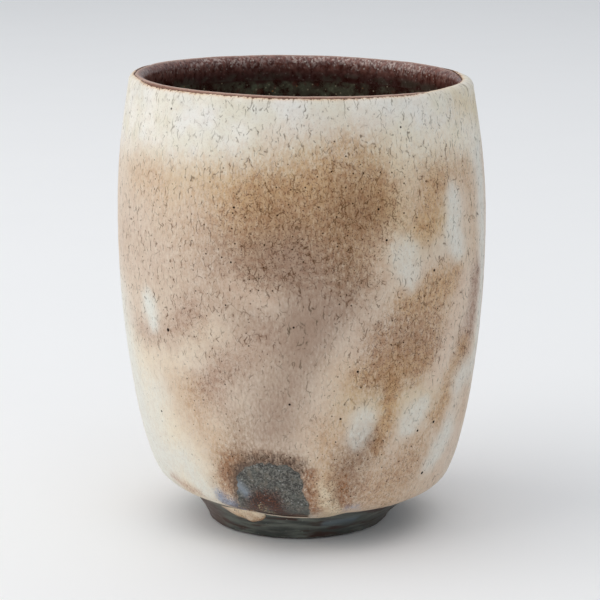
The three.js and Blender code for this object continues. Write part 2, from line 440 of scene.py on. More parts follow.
class Finish:
    """A material, its shade so far, and short calls for its nodes. A value is a number, a node's output, the
    hex code of a colour or the name of a painted field."""

    def __init__(self, name, **constants):
        self.material = bpy.data.materials.new(name)
        self.material.use_nodes = True
        self.tree = self.material.node_tree
        self.tree.nodes.clear()
        output = self.tree.nodes.new("ShaderNodeOutputMaterial")
        self.shader = self.tree.nodes.new("ShaderNodeBsdfPrincipled")
        self.tree.links.new(self.shader.outputs["BSDF"], output.inputs["Surface"])
        self.set(**constants)
        place = self.add("TexCoord", {}).outputs["Object"]
        self.place = self.stretched(place, (1 / MM,) * 3)
        self.shade = None

    def put(self, socket, value):
        if isinstance(value, str):
            value = colour(value) if value.startswith("#") else self.painted(value)
        if isinstance(value, bpy.types.NodeSocket):
            self.tree.links.new(value, socket)
        else:
            socket.default_value = value

    def set(self, **values):
        for name, value in values.items():
            self.put(self.shader.inputs[name.replace("_", " ")], value)

    def add(self, kind, inputs, **settings):
        node = self.tree.nodes.new("ShaderNode" + kind)
        for name, value in settings.items():
            setattr(node, name, value)
        for key, value in inputs.items():
            self.put(node.inputs[key], value)
        return node

    def stretched(self, place, scale):
        return self.add("Mapping", {"Vector": place, "Scale": scale}).outputs["Vector"]

    def unrolled(self):
        """The place on the flat map of the skin."""
        return self.add("UVMap", {}, uv_map="Unrolled").outputs["UV"]

    def painted(self, name):
        return self.add("Attribute", {}, attribute_name=name).outputs["Fac"]

    def math(self, operation, *values, clamp=False):
        node = self.add("Math", dict(enumerate(values)), operation=operation, use_clamp=clamp)
        return node.outputs["Value"]

    def vector(self, operation, *values, output="Vector"):
        return self.add("VectorMath", dict(enumerate(values)), operation=operation).outputs[output]

    def chained(self, operation, values):
        total = values[0]
        for value in values[1:]:
            total = self.math(operation, total, value)
        return total

    def times(self, *values):
        return self.chained("MULTIPLY", values)

    def most(self, *values):
        return self.chained("MAXIMUM", values)

    def total(self, *terms):
        """The sum of values, each times its weight."""
        total = 0.0
        for value, weight in terms:
            total = self.math("MULTIPLY_ADD", value, weight, total)
        return total

    def step(self, value, low, high, to_low=0.0, to_high=1.0):
        inputs = {"Value": value, "From Min": low, "From Max": high, "To Min": to_low, "To Max": to_high}
        return self.add("MapRange", inputs, interpolation_type="SMOOTHSTEP").outputs["Result"]

    def mix(self, share, a, b, blend="MIX"):
        inputs = {0: share, 6: a, 7: b}
        return self.add("Mix", inputs, data_type="RGBA", blend_type=blend).outputs[2]

    def lay(self, share, tint, strength=1.0, blend="MIX"):
        """Lays a colour on the shade so far, over a share of the surface."""
        if strength < 1:
            share = self.times(share, strength)
        self.shade = self.mix(share, self.shade, tint, blend)

    def grainy(self, share, grain, amount):
        """A share whose partly covered places break up into grains: 0 stays 0 and 1 stays 1."""
        if isinstance(share, str):
            share = self.painted(share)
        partly = self.times(share, self.math("SUBTRACT", 1.0, share))
        swing = self.times(self.math("SUBTRACT", grain, 0.5), 4 * amount)
        return self.math("ADD", share, self.times(partly, swing), clamp=True)

    def noise(self, size, detail=2.0, place=None, roughness=0.5):
        inputs = {"Vector": place or self.place, "Scale": 1 / size, "Detail": detail, "Roughness": roughness}
        return self.add("TexNoise", inputs).outputs["Fac"]

    def cells(self, size, feature="F1", place=None, **settings):
        inputs = {"Vector": place or self.place, "Scale": 1 / size}
        return self.add("TexVoronoi", inputs, feature=feature, **settings)

    def warped(self, place, size, reach):
        """The place, moved about by noise of that size, by up to reach."""
        noise = self.add("TexNoise", {"Vector": place, "Scale": 1 / size, "Detail": 2.0}).outputs["Color"]
        centred = self.vector("SUBTRACT", noise, (0.5,) * 3)
        return self.vector("ADD", place, self.vector("MULTIPLY", centred, (2 * reach,) * 3))

    def dots(self, size, share, radius, flat=None):
        """Round spots in a share of the cells of that size, each of up to radius, as a part of the cell.
        With a flat map they lie on it, and otherwise in space."""
        cells = self.cells(size, place=flat, voronoi_dimensions="2D" if flat else "3D")
        lot = self.add("SeparateColor", {"Color": cells.outputs["Color"]})
        chosen = self.math("LESS_THAN", lot.outputs["Red"], share)
        reach = self.math("MULTIPLY_ADD", lot.outputs["Green"], radius / 2, radius / 2)
        spot = self.step(cells.outputs["Distance"], reach, self.times(reach, 0.5))
        return self.times(spot, chosen)

    def finished(self, roughness, relief, strength, depth):
        """Sets the shade, the roughness and a bump of that depth in millimetres. Gives the material."""
        bump = self.add("Bump", {"Height": relief, "Strength": strength, "Distance": depth * MM})
        self.set(Base_Color=self.shade, Roughness=roughness, Normal=bump.outputs["Normal"])
        return self.material


# Pigments that the fire left in the slip, in the order in which they lie on each other: the colour and how
# much each one's edge breaks into grains
# Ivory and rust also carry painted light: highlights on the slip's lower edge and the roll, shade under it.
PIGMENTS = [
    ("wash", "#dcc9b4", 0.6),
    ("straw", "#d8c192", 0.7),
    ("pink", "#b3937e", 0.8),
    ("ochre", "#c69c69", 0.9),
    ("brown", "#906c4b", 1.0),
    ("grey", "#a48975", 0.9),
    ("cream", "#dfc8b2", 0.8),
    ("ivory", "#efe2c8", 0.8),
    ("white", "#e4e4db", 0.9),
    ("rust", "#a8744c", 1.8),
    ("soot", "#5a473b", 2.0),
    ("lilac", "#9ba5b9", 1.6),
]

# Marks on the slip by pigment, as read: strength, half-width and softness in millimetres, then the path
# that the mark follows, in degrees round the cup and millimetres of height
MARKS = {
    "wash": [
        (0.5, 3, 4, (-8, 84), (8, 86), (24, 85)),
    ],
    "straw": [
        (0.3, 3.2, 4.4, (-40, 75.5), (-20, 77), (0, 79), (20, 80.5), (34, 79)),
        (0.5, 3.4, 4.4, (27, 70), (33, 64), (44, 68)), (0.4, 4, 5, (15, 34), (30, 32), (42, 33)),
        (0.55, 3, 4, (60, 89), (80, 87)), (0.6, 1.8, 1.8, (8, 13.5), (10, 11), (13, 8.5)),
    ],
    "pink": [
        (0.25, 5, 6, (-26, 66), (-16, 62)), (0.28, 9, 8, (-66, 60), (-45, 58), (-28, 56)),
        (0.5, 3, 3.6, (-62, 42), (-46, 44), (-34, 50)), (0.55, 3.4, 4.4, (-12, 46), (-22, 40), (-33, 34)),
        (0.36, 2.4, 3.4, (-35, 47), (-28, 43)), (0.32, 2.4, 3.4, (-30, 36), (-25, 31)),
        (0.7, 5, 5.4, (27, 44), (40, 44.5)), (0.8, 3, 3.2, (70, 54), (66, 46), (62, 41)),
        (0.35, 5, 5, (24, 14), (38, 18)),
    ],
    "ochre": [
        (0.34, 3.2, 5, (-61, 74), (-50, 75)), (0.22, 5, 6, (-45, 71), (-24, 74)),
        (0.72, 6, 7, (-16, 73), (0, 75), (20, 74)), (0.5, 2.8, 3.6, (7, 79), (13, 83)),
        (0.58, 7, 7, (-8, 66), (4, 66), (15, 66)), (0.14, 6, 7, (-32, 64), (-20, 58)),
        (0.64, 3.2, 3.4, (40, 67), (43, 75)), (0.3, 4.5, 5, (30, 72), (36, 78), (48, 79)),
        (0.4, 3.2, 4, (46, 76), (58, 76)), (0.32, 2.6, 3.4, (62, 76), (66, 60)),
        (0.35, 3, 4, (22, 79), (25, 71)), (0.34, 4, 5, (-41, 33), (-36, 27), (-30, 23)),
        (0.26, 3, 3.4, (11, 40), (14, 34), (11, 27)), (0.45, 2.4, 2.4, (6, 15.5), (9, 12), (12, 8)),
        (0.48, 2.8, 4, (5, 28), (8, 21), (9.5, 16)), (0.22, 4, 5, (20, 60), (32, 66), (46, 60)),
        (0.6, 3.2, 3.2, (33, 52.5), (42, 54), (54, 56)), (0.42, 5.6, 5.6, (28, 43), (38, 45.5), (47, 50)),
        (0.58, 2.8, 3.2, (18, 38.5), (29, 39), (40, 40)), (0.8, 1.8, 2.2, (29, 37), (29, 30), (25, 24)),
        (0.7, 2.2, 2.6, (61, 41), (55, 34), (50, 28)), (0.38, 6, 6, (28, 14), (36, 17), (42, 21)),
        (0.32, 2.4, 3.4, (36, 9.5), (48, 10), (60, 12)), (0.46, 3, 4, (66, 38), (72, 26)),
        (0.24, 2.2, 2.4, (-32, 10), (-30, 15), (-27, 20)),
    ],
    "brown": [
        (0.47, 6.5, 7, (-8, 68), (4, 66), (15, 71)), (0.4, 3.6, 6, (17, 71), (17, 64), (16, 57)),
        (0.46, 4.5, 5, (-8, 60), (9, 59), (14, 54)), (0.24, 4, 5, (33, 47), (35, 42), (24, 38)),
        (0.7, 3.2, 3.6, (21, 25), (16, 20.5), (14, 13)),
        (0.68, 2.2, 2.4, (-25, 15), (-22, 20), (-13, 21.3), (-3, 20.3)),
        (0.42, 3, 3.6, (-27, 17), (-22, 22), (-19, 27)), (0.22, 1.8, 2.2, (-30, 10), (-28, 15), (-24, 20)),
        (0.45, 1.2, 1.6, (1.5, 18.5), (2.6, 13), (4.6, 9.5)), (0.5, 1, 1.4, (-37, 10), (-34, 13.5)),
    ],
    "grey": [
        (0.7, 5, 5, (-4, 61), (4, 54), (8, 51), (0, 46)),
        (0.68, 3.6, 4.4, (3, 51), (-1, 43), (-4, 35), (-9, 27)), (0.25, 3, 5, (4, 42), (2, 34), (-4, 27)),
        (0.6, 2.2, 2.8, (-3, 51), (2, 49)), (0.48, 5.5, 6, (-20, 60), (-14, 48), (-12, 34)),
    ],
    "cream": [
        (0.5, 2.6, 3, (-20, 56), (-11, 54)), (0.25, 3, 4, (-26, 47), (-16, 43)),
        (0.33, 2.2, 3, (27, 64), (19, 52), (13, 43), (6, 33), (0, 26)),
        (0.75, 2, 2.4, (59, 54), (53, 45), (46, 36)), (0.6, 4, 5, (60, 12), (72, 24)),
    ],
    "ivory": [
        (0.28, 2.2, 3.8, (30, 82), (32, 72), (27, 63)), (0.3, 2.6, 3.6, (-74, 36), (-45, 39), (-28, 46)),
        (0.8, 6.5, 6, (-66, 33), (-54, 22), (-42, 13)), (0.7, 1.7, 1.7, (7, 14.5), (9.5, 12), (13, 8.5)),
        (0.4, 5, 5, (36, 82), (62, 83)),
    ],
    "white": [
        (1, 2, 1.9, (-54, 50), (-52.5, 46)), (0.7, 2.3, 1.8, (51, 71), (52, 66), (55, 61)),
        (0.58, 2.7, 1.8, (31, 63), (32, 60), (33.5, 57.5)), (0.22, 2, 2.2, (34, 62), (44, 63), (53, 64)),
        (0.6, 3, 1.8, (19.5, 29.5), (18, 26.5)), (0.66, 2.7, 1.8, (41, 30), (37, 27)),
        (0.7, 3, 2.4, (58, 23), (52, 18)), (0.65, 3, 3.2, (62, 34), (76, 35)),
        (0.8, 2.4, 3, (73, 78), (76, 58), (78, 40)), (0.95, 8, 7, (-84, 44), (-74, 28), (-70, 14)),
        (0.6, 3.4, 4, (-55, 31), (-57, 25)), (0.8, 3.4, 3.6, (-60, 16), (-47, 18), (-40, 12)),
    ],
    "rust": [
        (0.36, 1.4, 1.8, (-30, 10), (-28.5, 15), (-25, 20)), (0.6, 0.9, 1.2, (-31, 8.6), (-24, 7.2)),
        (0.62, 1.2, 1.6, (1.5, 17.5), (2.6, 13), (4.6, 9.5)), (0.45, 1, 1.4, (15, 16), (17, 10)),
        (0.45, 0.9, 1.2, (-58, 12), (-44, 10.5)),
    ],
    "soot": [
        (0.66, 1.3, 1.9, (-22, 18.5), (-18, 20.6), (-11, 21), (-2, 19.6)),
        (0.42, 0.9, 1.4, (-26, 9), (-25.5, 14), (-23, 18)), (0.18, 0.7, 1.1, (-2, 19), (1.2, 15), (2.2, 10)),
        (0.45, 1.2, 1.4, (-33, 9.6), (-28.5, 8.4)),
    ],
    "lilac": [
        (0.95, 1.4, 1.4, (-33, 10.4), (-30.5, 9.6), (-28, 8.8)), (0.5, 0.7, 0.8, (17, 9.6), (22, 10)),
    ],
}

# Guessed marks, on the side that the photograph doesn't show
BACK_MARKS = {
    "pink": [
        (0.6, 7, 5, (180, 62), (205, 56), (250, 60)), (0.55, 6, 5, (95, 44), (115, 30), (128, 18)),
    ],
    "ochre": [
        (0.55, 4.5, 4.5, (100, 74), (135, 77), (170, 74)), (0.45, 3, 3, (205, 75), (238, 73), (270, 75)),
        (0.65, 2.2, 2, (210, 40), (190, 22), (184, 14)), (0.6, 2.4, 2.4, (120, 40), (100, 24), (92, 14)),
    ],
    "brown": [
        (0.5, 6, 5.5, (120, 66), (145, 62), (150, 52)), (0.4, 5, 5, (215, 58), (232, 50)),
    ],
    "grey": [
        (0.55, 3.2, 3.4, (150, 54), (142, 42), (132, 32)),
    ],
    "cream": [
        (0.65, 3.2, 3, (185, 52), (172, 40), (160, 26), (152, 14)),
    ],
    "white": [
        (0.85, 2.8, 2.4, (100, 60), (104, 53)), (0.85, 3.2, 2.4, (196, 34), (202, 26)),
        (0.8, 2.4, 2, (165, 68), (168, 62)), (0.8, 6, 5, (270, 40), (250, 26), (225, 16)),
    ],
}

# Larger iron specks in the slip: angle, height and radius
IRON_SPECKS = [
    (-45, 45, 0.42), (17, 39.5, 0.32), (25.5, 65, 0.32), (43, 58, 0.34), (-20, 71, 0.28), (23, 71, 0.32),
    (-2.5, 48.5, 0.3), (-45, 88, 0.3), (32, 86, 0.26), (-54, 27, 0.3), (48.5, 26.5, 0.36), (41, 25.5, 0.3),
    (12, 30, 0.28), (-4, 33, 0.28), (-23, 52, 0.24), (-21, 60.5, 0.24), (48, 15.5, 0.4), (-33, 54, 0.22),
    (112, 70, 0.34), (140, 46, 0.36), (176, 60, 0.3), (208, 44, 0.36), (236, 66, 0.32), (262, 52, 0.3),
]

# Spots in the finger mark and on the foot: name, half-width and softness, then the path
MARK_SPOTS = [
    ("iron", 2.3, 1.9, [(-20, 8.4), (-16, 11.8), (-11.5, 11.6), (-10, 8)]),
    ("iron", 1.3, 1.0, [(-20, 6.6), (-1, 6.6)]),
    ("pale", 1.0, 0.8, [(-16.5, 9.6), (-14, 8.0)]),
    ("flecks", 1.2, 1.0, [(-31, 8.6), (-21.5, 6.0)]),
    ("flecks", 0.5, 0.6, [(-4, 6.0), (2, 6.4)]),
    ("blue", 0.9, 1.3, [(-23.5, 14.5), (-21, 13)]),
]
FOOT_SPOTS = [
    ("blue", 0.7, 1.2, [(13, 4.2), (30, 4.6)]),
    ("pale", 0.5, 0.8, [(-52, 7.2), (-36, 6.0)]),
]


def from_front(angle):
    """The same angle, from -90 to 270, so that the back isn't split."""
    return (angle + 90) % 360 - 90


def stroke(across, up, path, half_width, softness):
    """How far a mark covers each place, from 0 to 1. Marks go on past the seam at the back."""
    nearest = np.inf
    for (a0, y0), (a1, y1) in zip(path[:-1], path[1:]):
        x0, x1 = a0 * DEGREE, a1 * DEGREE
        span = (x1 - x0) ** 2 + (y1 - y0) ** 2
        for seam in (-FULL_TURN, 0, FULL_TURN):
            t = np.clip(((across + seam - x0) * (x1 - x0) + (up - y0) * (y1 - y0)) / span, 0, 1)
            away = np.hypot(across + seam - x0 - t * (x1 - x0), up - y0 - t * (y1 - y0))
            nearest = np.minimum(nearest, away)
    return 1 - smooth(half_width - softness, half_width + softness, nearest)


def spot_fields(angle, height, spots):
    """The share of each kind of spot at each place."""
    fields = {}
    for name, half_width, softness, path in spots:
        share = stroke(angle * DEGREE, height, path, half_width, softness)
        fields[name] = np.maximum(fields.get(name, 0.0), share)
    return fields


def pigment_fields(angle, height, points):
    """Each pigment's share at each place of the slip, with edges that wander."""
    wander = [0.8 * cloud(points, 7, seed, 3) + 0.5 * cloud(points, 1.6, seed + 5) for seed in (11, 23)]
    across = from_front(angle) * DEGREE + wander[0]
    up = height + wander[1]
    fields = {name: np.zeros(height.shape) for name, _, _ in PIGMENTS}
    fields["wash"] = WASH_STRENGTH * (1 - smooth(*WASH_FADE, up))
    for name, marks in [*MARKS.items(), *BACK_MARKS.items()]:
        for strength, half_width, softness, *path in marks:
            share = strength * stroke(across, up, path, half_width, softness)
            fields[name] = 1 - (1 - fields[name]) * (1 - share)
    return fields


def mark_depth(angle, height, points):
    """1 inside the finger mark, 0 on the slip round it, with a grainy edge that is softer on the left."""
    across = np.radians(from_front(angle)) * CLAY.at(CLAY.station_of(height))[0] - MARK_OFFSET
    spread_out = MARK_SPREAD / 2 * smooth(*MARK_SPREAD_HEIGHTS, height)
    corner_radius = np.where(across > 0, MARK_RIGHT_CORNER, MARK_LEFT_CORNER)
    beyond_side = np.abs(across - spread_out) - (MARK_WIDTH / 2 + spread_out - corner_radius)
    beyond_top = height - (MARK_TOP - corner_radius)
    corner = np.hypot(np.maximum(beyond_side, 0), np.maximum(beyond_top, 0))
    outside = corner + np.minimum(np.maximum(beyond_side, beyond_top), 0) - corner_radius
    ragged = rough(points, (0.35, 3, 41), (0.3, 0.7, 43))
    soft = MARK_SOFTNESS + MARK_SOFTNESS_LEFT * smooth(-1, -6, across)
    return 1 - smooth(-1, 1, (outside + ragged) / soft)


# Pieces

FRONT_COLUMNS = spread((-110, 0.75), (-38, 0.42), (14, 0.75), (110, 1.3), 250)[:-1]


def edge_round(distance, width):
    """A coat's rounded edge: 0 at the edge and 1 from width inwards."""
    t = np.clip(distance / width, 0, 1)
    return np.sqrt(1 - (1 - t) ** 2)


def climb(angle):
    """Where the slip runs up over the lip, on the right."""
    around = from_front(angle)
    return smooth(34, 68, around) * (1 - smooth(90, 126, around))


def slip_top(angle):
    """Station of the slip's ragged upper edge."""
    rim = turned(angle, LIP_RADIUS, LIP_CREST_HEIGHT)
    left = -np.sin(np.radians(angle))
    rise = SLIP_RISE + SLIP_RISE_LEFT * left + SLIP_RISE_FAR_LEFT * smooth(0.85, 0.99, left)
    return CLAY.shoulder + rise + SLIP_CLIMB * climb(angle) + rough(rim, (0.12, 4, 51), (0.06, 0.8, 53))


def slip_bottom(angle):
    """Station of the slip's ragged lower edge."""
    rim = turned(angle, CLAY.seat_outside[0], FOOT_HEIGHT)
    edge = np.interp(from_front(angle), *zip(*SLIP_LOW_EDGE))
    return edge + rough(rim, (0.25, 3, 55), (0.12, 0.8, 57))


def slip_rows():
    """Shares of the way up the slip, closest at its edges and round the finger mark."""
    stations = spread((0, 0.14), (1.0, 0.6), (7, 0.34), (CLAY.station_of(26), 0.7), (CLAY.shoulder - 3, 0.22),
                      (CLAY.shoulder, 0.13), CLAY.shoulder + 1.2)
    return stations[:, None] / stations[-1]


def crackle_share(angle, height):
    """How strong the cracks are: weaker low down, and high up on the left."""
    around = from_front(angle)
    low_left = (1 - smooth(-40, -20, around)) * (1 - smooth(34, 46, height))
    high_left = smooth(70, 82, height) * smooth(-15, -35, around)
    return (0.55 + 0.45 * smooth(24, 50, height) - 0.4 * low_left) * (1 - 0.3 * high_left)


def slip_coat(material):
    """The slip, with rounded edges and the finger mark left out."""
    angle = FRONT_COLUMNS
    top = slip_top(angle)
    bottom = slip_bottom(angle)
    station = bottom + slip_rows() * (top - bottom)
    height = CLAY.at(station)[1]
    bare = on_clay(angle, station)
    mark = mark_depth(angle, height, bare) * smooth(*MARK_SILL, station - bottom)
    uneven = dips(bare, (0.10, 22, 61), (0.03, 1.4, 63))
    edges = edge_round(top - station, SLIP_TOP_ROUNDING)
    edges = edges * edge_round(station - bottom + 0.02, SLIP_LOW_ROUNDING)
    front = on_clay(angle, station, (SLIP_THICKNESS + uneven) * (1 - mark) * edges + SLIP_LEAST_LIFT)
    back_station = bottom + np.linspace(1, 0, 16)[:, None] * (top - bottom)
    mesh = grid_mesh("slip_skin", np.concatenate([front, on_clay(angle, back_station)]))
    unroll(mesh, angle, np.concatenate([height, CLAY.at(back_station)[1]]))
    fields = pigment_fields(angle, height, bare)
    # A painted highlight along the slip's lower edge at the front, laid in as ivory.
    rim_light = stroke(from_front(angle) * DEGREE, 0, [(-12, 0), (14, 0)], 3, 3)
    fields["ivory"] = np.maximum(fields["ivory"], rim_light * np.exp(-((station - bottom) / 0.5) ** 2))
    fields["edge"] = np.exp(-np.maximum(top - station - 0.1, 0) / 0.5)
    # Painted shade: a dark line on the slip's step down into the finger mark.
    fields["rim"] = 4 * mark * (1 - mark)
    fields["crackle"] = crackle_share(angle, height)
    paint(mesh, height.shape, **fields)
    piece("slip_skin", mesh, material, "white_slip_coat")


def finger_mark(material):
    """The thin glaze in the finger mark, a patch whose border lies under the slip."""
    angle = spread((-33, 0.45), 10)
    top = CLAY.station_of(MARK_TOP + 2.5)
    low = slip_bottom(angle) + 0.35
    station = low + np.linspace(0, 1, 56)[:, None] * (top - low)
    bare = on_clay(angle, station)
    pooled = rough(bare, (0.06, 3, 71), (0.05, 0.8, 73))
    r, c = np.indices(station.shape)
    border = np.minimum.reduce([r, r.max() - r, c, c.max() - c])
    lift = (MARK_GLAZE_THICKNESS - 0.1 + pooled) * np.clip(border / 6, 0, 1) + LEAST_LIFT
    front = on_clay(angle, station, lift)
    mesh = grid_mesh("finger_mark", np.concatenate([front, bare[::-1]]), closed_turn=False)
    paint(mesh, station.shape, **spot_fields(angle, CLAY.at(station)[1], MARK_SPOTS))
    piece("finger_mark", mesh, material, "finger_mark_glaze")


def lip(material):
    """The thin iron coat, from under the slip's upper edge over the lip and down inside."""
    angle = FRONT_COLUMNS
    station = spread((CLAY.shoulder - 0.6, 0.13), (CLAY.crest + 2.4, 0.2), CLAY.coat_end)[:, None]
    bare = on_clay(angle, station)
    thickness = LIP_COAT_THICKNESS + dips(bare, (0.05, 6, 81), (0.03, 1.2, 83))
    above_slip = smooth(-0.45, 0.3, station - slip_top(angle))
    lift = thickness * (1 - 0.55 * climb(angle)) * above_slip + LEAST_LIFT
    level = smooth(CLAY.coat_end - EDGE_BLEND, CLAY.coat_end, station)
    front = on_clay(angle, station, lift * (1 - level) + INNER_EDGE * level)
    mesh = grid_mesh("lip_glaze", np.concatenate([front, bare[::-4]]))
    around = from_front(angle)
    clusters = 0.8 * np.exp(-((around - 152) / 26) ** 2) + np.exp(-((around - 211) / 11) ** 2)
    clouded = np.clip(0.62 + rough(bare, (0.4, 12, 85)) + 0.7 * clusters, 0, 1)
    past_crest = station - CLAY.crest
    # On the crest the coat is paler: the crest's thin, rubbed glaze together with a painted highlight.
    paint(mesh, lift.shape,
          worn=np.exp(-((past_crest + 0.1) / 0.5) ** 2),
          veil=clouded * smooth(0, 0.9, past_crest) * smooth(3.8, 1.8, past_crest),
          low=smooth(CLAY.crest + 1.4, CLAY.coat_end - 0.6, station),
          outer=smooth(-0.25, -0.65, past_crest))
    piece("lip_glaze", mesh, material, "lip_band")


def inside_glaze(material):
    """The dark glaze inside, from the end of the lip's coat to the middle of the floor."""
    angle = all_round(288)
    station = spread((CLAY.coat_end, 0.5), (CLAY.coat_end + 14, 1.4), CLAY.end - 1.5)[:, None]
    bare = on_clay(angle, station)
    thickness = INNER_GLAZE_THICKNESS + dips(bare, (0.06, 9, 91), (0.03, 2, 93))
    level = smooth(CLAY.coat_end + EDGE_BLEND, CLAY.coat_end, station)
    front = on_clay(angle, station, thickness * (1 - level) + INNER_EDGE * level)
    back = bare[::-2]
    middle = leaned(np.array([0, 0, CLAY.points[-1, 1]]))
    poles = np.array([middle, middle + (0, 0, INNER_GLAZE_THICKNESS)])
    mesh = grid_mesh("inside_glaze", np.concatenate([back, front]), poles)
    down = station - CLAY.coat_end
    paint(mesh, front.shape[:2], skip=back[..., 0].size,
          upper=smooth(0.4, 0.0, down + rough(bare, (0.7, 3, 95))),
          mottled=1 - 0.55 * smooth(12, 45, down))
    piece("inside_glaze", mesh, material, "inner_glaze")


def clay_wall(material):
    """The clay, from the middle of the underside over the lip to the middle of the floor inside."""
    dome = np.array([0, FOOT_HEIGHT + FOOT_RECESS_DOME])
    recess = bezier(dome, dome + (6, 0), CLAY.seat_inside + (-3, 0.4), CLAY.seat_inside, 14)
    seat = straight(CLAY.seat_inside, CLAY.seat_outside, 6)
    to_slip = straight(CLAY.seat_outside, CLAY.points[0], 3)
    wall = np.stack(CLAY.at(spread((1.0, 1.0), CLAY.end - 2.0)), 1)
    outline = np.concatenate([recess[1:], seat[1:], to_slip[1:], wall])
    grid = leaned(turned(all_round(192), outline[:, :1], outline[:, 1:]))
    poles = leaned(np.array([[0, 0, dome[1]], [0, 0, CLAY.points[-1, 1]]]))
    piece("clay_wall", grid_mesh("clay_wall", grid, poles), material, "clay_body")


def foot_wall(height):
    """Radius of the foot's outer wall."""
    return FOOT_RADIUS + FOOT_FLARE * height / FOOT_HEIGHT


def foot(material):
    """The foot ring of bare clay, a little rubbed outside."""
    recess = FOOT_RADIUS - FOOT_RING_WIDTH
    base_out = np.array([FOOT_RADIUS, 0.0])
    base_in = np.array([recess, 0.0])
    outer_wall = straight(base_out, (foot_wall(FOOT_HEIGHT), FOOT_HEIGHT), 30)
    inner_wall = straight((recess - FOOT_RECESS_DRAFT, FOOT_HEIGHT), base_in, 16)
    outer = rounded_join(straight(base_in, base_out, 12), base_out, outer_wall, FOOT_ROUNDING)
    outline = rounded_join(inner_wall, base_in, outer, FOOT_ROUNDING)
    angle = all_round(320)
    grid = turned(angle, outline[:, :1], outline[:, 1:], FOOT_OFFSET)
    is_outside = np.hypot(grid[..., 0], grid[..., 1]) > FOOT_RADIUS - 0.5
    grid = grid + turned(angle, dips(grid, (0.05, 2.2, 101)) * is_outside, 0.0)
    piece("turned_foot", grid_mesh("turned_foot", levelled(grid)), material, "foot_ring")


def skin_normals(grid):
    """Outward directions of a grid of points."""
    normal = np.cross(np.gradient(grid, axis=1), np.gradient(grid, axis=0))
    return normal / np.linalg.norm(normal, axis=-1, keepdims=True)


def under_skin(angle):
    """Bare skin from low on the foot, up its flare and out under the body to inside the slip's lower edge."""
    rim = turned(angle, FOOT_RADIUS, 0.0)
    low = FOOT_BARE_EDGE - 0.55 + rough(rim, (0.15, 5, 111), (0.08, 1.2, 113))
    height = low + np.linspace(0, 1, 9)[:, None] * (FLARE_START - low)
    wall = levelled(turned(angle, foot_wall(height), height, FOOT_OFFSET))
    pull = levelled(turned(angle, foot_wall(FLARE_PULL), FLARE_PULL, FOOT_OFFSET))
    edge = slip_bottom(angle)
    flare_end = np.minimum(FLARE_END, edge + SLIP_OVERLAP / 2)
    pull_out = np.minimum(FLARE_PULL_OUT, flare_end - 0.5)
    flare = bezier(wall[-1], pull, on_clay(angle, pull_out), on_clay(angle, flare_end), 20)
    station = flare_end + np.linspace(0, 1, 12)[:, None] * (edge + SLIP_OVERLAP - flare_end)
    return np.concatenate([wall, flare[1:], on_clay(angle, station)[1:]])


def foot_coat(material):
    """Dark glaze on the foot, which flares out at its top and runs under the slip."""
    angle = all_round(480)
    bare = under_skin(angle)
    flow = dips(bare * (1, 1, 2.5), (0.05, 5, 115)) + dips(bare, (0.025, 1.0, 117))
    row = np.arange(len(bare))[:, None]
    last = len(bare) - 1
    lift = (FOOT_GLAZE_THICKNESS + flow) * edge_round(row + 0.2, 4) * (1 - 0.6 * smooth(last - 6, last, row))
    normal = skin_normals(bare)
    front = bare + normal * lift[..., None]
    back = (bare - 0.03 * normal)[::-4]
    mesh = grid_mesh("foot_coat", np.concatenate([front, back]))
    around = from_front(angle)
    paint(mesh, lift.shape,
          # Painted shadow: the glaze's lowest rows, by the table, are darkened.
          low_edge=smooth(5, 0, row),
          # Darker brown under the slip's lower edge: the glaze's own brown with painted shade under that
          # edge.
          groove=smooth(last - 8, last - 3, row),
          left=smooth(-42, -58, around),
          right=smooth(36, 60, around) * smooth(140, 110, around),
          **spot_fields(around, front[..., 2], FOOT_SPOTS))
    piece("foot_coat", mesh, material, "foot_glaze")


def at_heights(skin, height):
    """Points of a skin at the given heights, column by column."""
    points = np.empty(height.shape + (3,))
    for c in range(height.shape[1]):
        for axis in range(3):
            points[:, c, axis] = np.interp(height[:, c], skin[:, c, 2], skin[:, c, axis])
    return points


def slip_roll(material):
    """A roll of slip that ran down under the coat's lower edge."""
    turns, middles, halves = np.array(RUN_SHAPE).T
    angle = np.linspace(turns[0], turns[-1], 130)[:-1]
    uneven = rough(turned(angle, FOOT_RADIUS, 0.0), (0.12, 2.2, 121))
    half = np.interp(angle, turns, halves) * edge_round(turns[-1] - angle, RUN_END_ROUNDING) * (1 + uneven)
    across = np.linspace(-1, 1, 24)[:, None]
    base = at_heights(under_skin(angle), np.interp(angle, turns, middles) + half * across)
    thick = RUN_THICKNESS * np.minimum(1, half / halves.max())
    lift = FOOT_GLAZE_THICKNESS / 2 + thick * np.sqrt(1 - across ** 2) * (1 + rough(base, (0.2, 1.4, 125)))
    front = base + skin_normals(base) * lift[..., None]
    mesh = grid_mesh("slip_roll", np.concatenate([front, base[::-1]]), closed_turn=False)
    unroll(mesh, angle, np.concatenate([base, base[::-1]])[..., 2])
    paint(mesh, lift.shape,
          wash=0.7,
          ochre=np.clip(0.6 - 0.2 * across + rough(base, (0.3, 2, 123)), 0, 1),
          grey=smooth(-35, -44, angle),
          # Ivory towards the roll's top and rust on its underside: painted light and shade on its round form.
          ivory=0.2 + 0.4 * smooth(0.2, 0.8, across),
          rust=0.7 * smooth(0.0, -0.8, across))
    piece("slip_roll", mesh, material, "slip_run")


# Finishes

